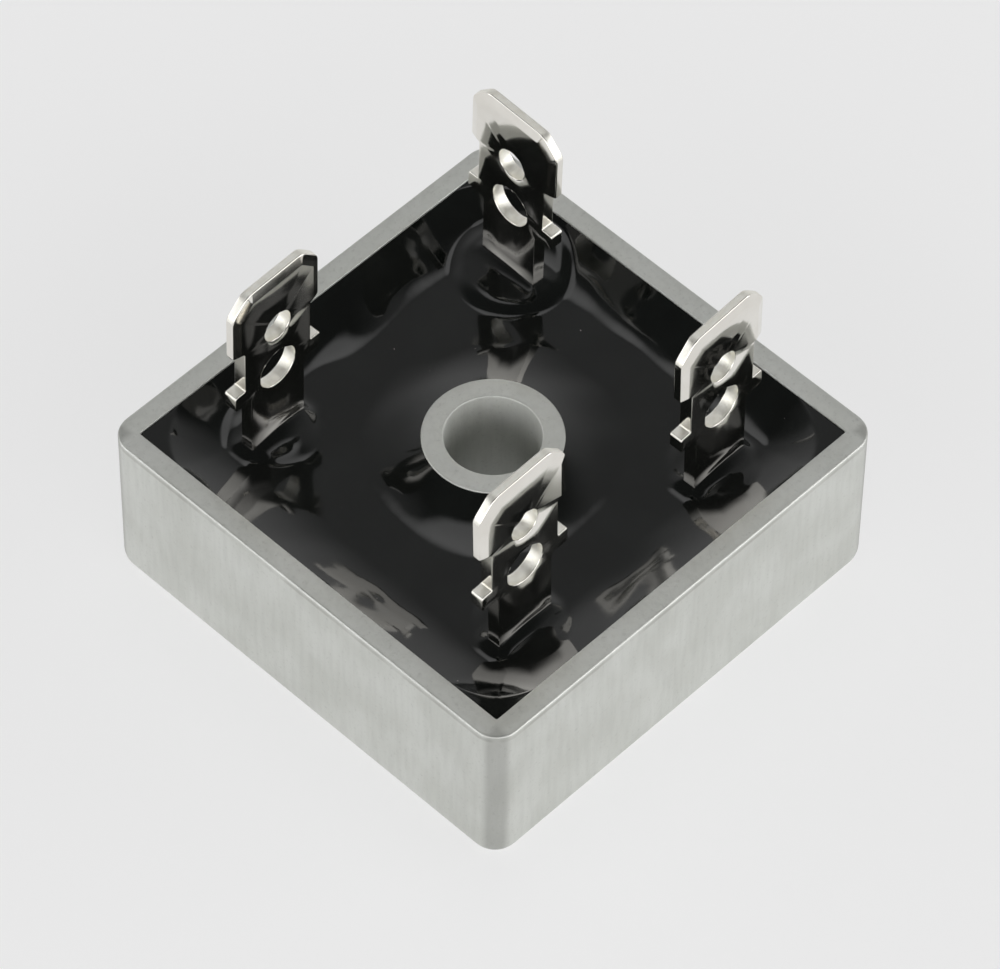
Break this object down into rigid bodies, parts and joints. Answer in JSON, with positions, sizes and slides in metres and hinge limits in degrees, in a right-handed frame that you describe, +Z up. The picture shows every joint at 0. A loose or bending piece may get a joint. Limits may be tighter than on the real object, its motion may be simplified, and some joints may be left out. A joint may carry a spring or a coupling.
{
  "type": "bridge rectifier",
  "caption": "Square metal-cased bridge rectifier with an epoxy fill, a hollow post for its screw and upright push-on tab terminals.",
  "frame": {"origin": "centre of the mounting hole on the base face", "axes": "+Z up out of the open side along the mounting hole; +X and +Y square to the case, with the positive terminal in the +X +Y corner"},
  "size_m": [0.0286, 0.0286, 0.0223],
  "materials": {
    "cast_aluminium": "satin",
    "black_epoxy": "gloss",
    "tinned_brass": "satin",
    "copper": "satin",
    "solder": "satin",
    "silicon": "satin",
    "ceramic_white": "matte"
  },
  "bodies": {
    "root": {"case": "cast_aluminium", "potting": "black_epoxy", "base_insulator": "ceramic_white", "positive_plate": "copper", "ac_plate_1": "copper", "ac_plate_2": "copper", "negative_plate": "copper", "ac_strap_1": "copper", "ac_strap_2": "copper", "strap_solder_1": "solder", "strap_solder_2": "solder", "die_1": "silicon", "die_2": "silicon", "die_3": "silicon", "die_4": "silicon", "cathode_solder_1": "solder", "cathode_solder_2": "solder", "cathode_solder_3": "solder", "cathode_solder_4": "solder", "anode_solder_1": "solder", "anode_solder_2": "solder", "anode_solder_3": "solder", "anode_solder_4": "solder", "negative_terminal": "tinned_brass", "ac_terminal_1": "tinned_brass", "ac_terminal_2": "tinned_brass", "positive_terminal": "tinned_brass", "negative_tab_solder": "solder", "ac_tab_solder_1": "solder", "ac_tab_solder_2": "solder", "positive_tab_solder": "solder"}
  },
  "joints": []
}
